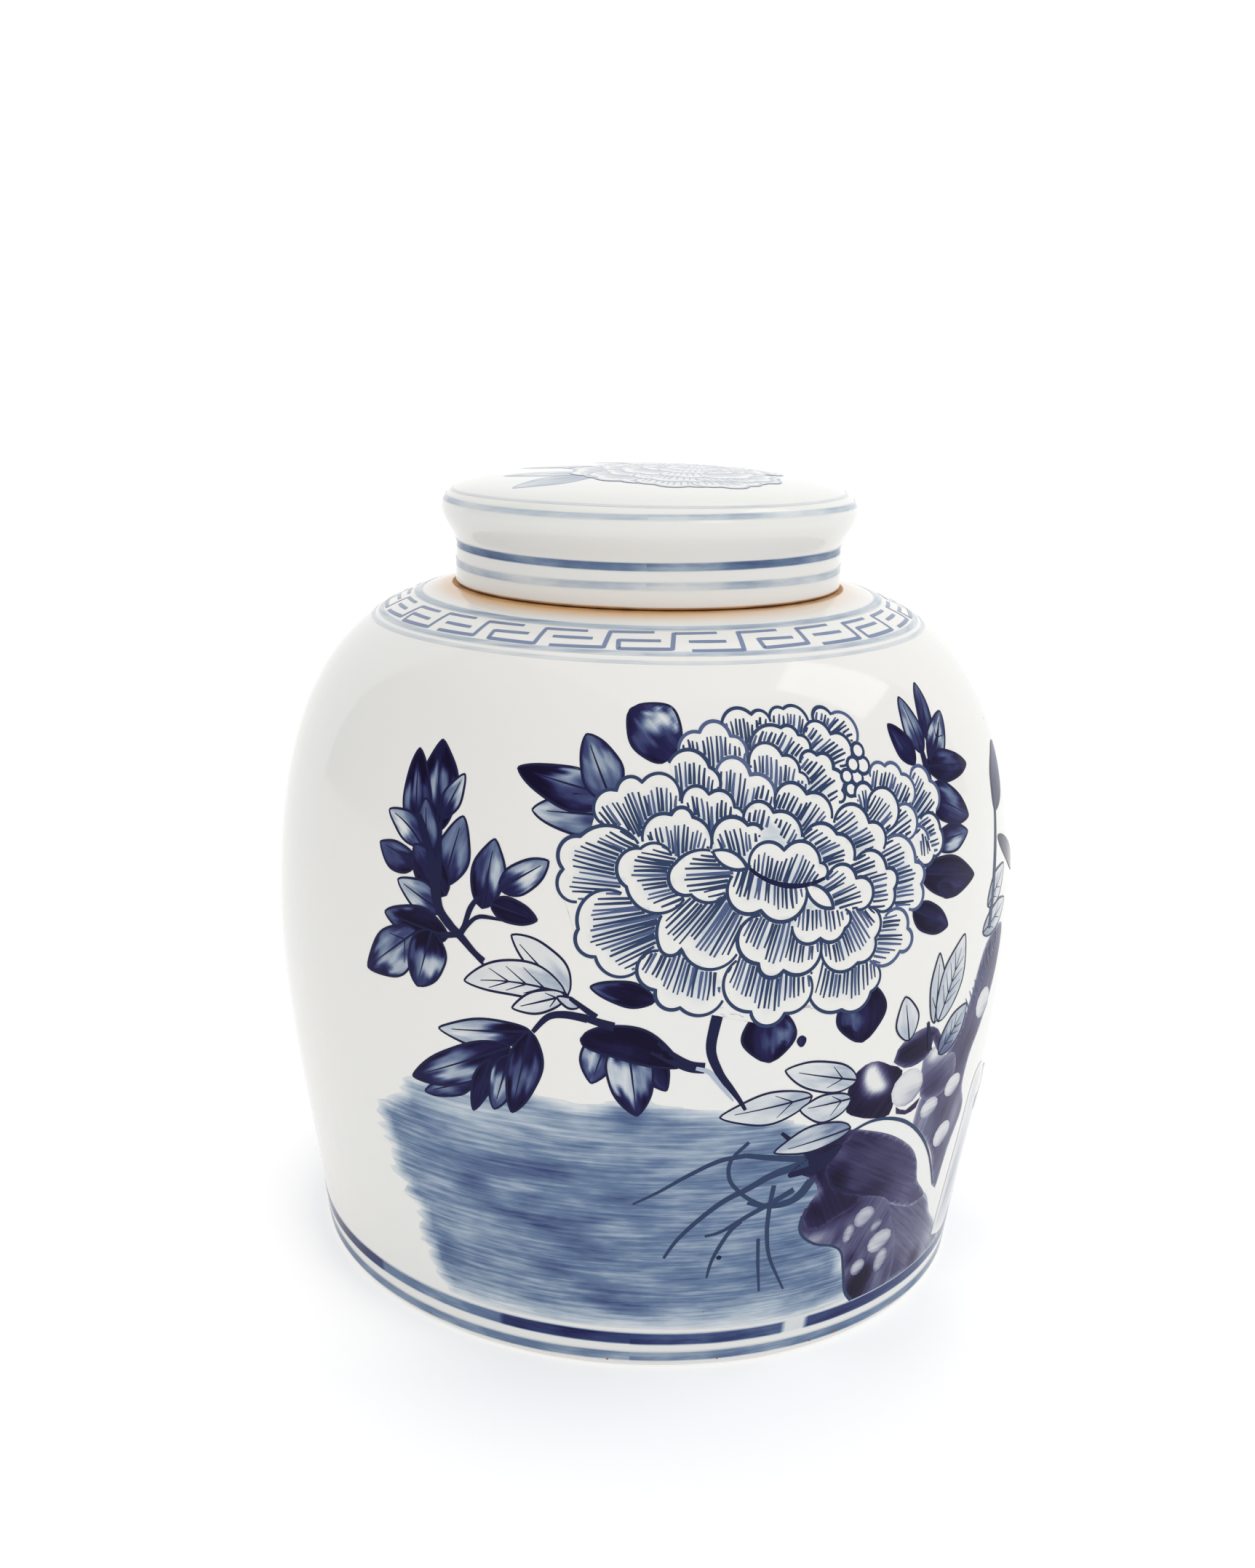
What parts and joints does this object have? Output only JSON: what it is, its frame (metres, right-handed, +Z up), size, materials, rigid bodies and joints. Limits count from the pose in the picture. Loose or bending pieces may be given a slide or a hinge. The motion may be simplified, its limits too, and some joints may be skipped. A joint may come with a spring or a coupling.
{
  "type": "ginger jar",
  "caption": "Squat round-shouldered porcelain jar with a flat drop-on lid and cobalt blue peony painting.",
  "frame": {"origin": "middle of the foot ring's resting plane", "axes": "+Z up along the jar's axis of turning, +X to the right of the painted peony, -Y towards the front of the painting"},
  "size_m": [0.2, 0.2, 0.2085],
  "materials": {
    "white_glaze": "clear gloss glaze over white porcelain",
    "lid_glaze": "clear gloss glaze over white porcelain",
    "cobalt_painting": "cobalt blue painted under the clear glaze",
    "bare_clay": "unglazed fired clay, toasted orange where the lid rests"
  },
  "bodies": {
    "jar": {"jar": "white_glaze"},
    "lid": {"lid": "lid_glaze"}
  },
  "joints": [
    {"name": "lid_lift", "type": "slide", "parent": "jar", "child": "lid", "axis": [0, 0, 1], "range_m": [0, 0.12]}
  ]
}
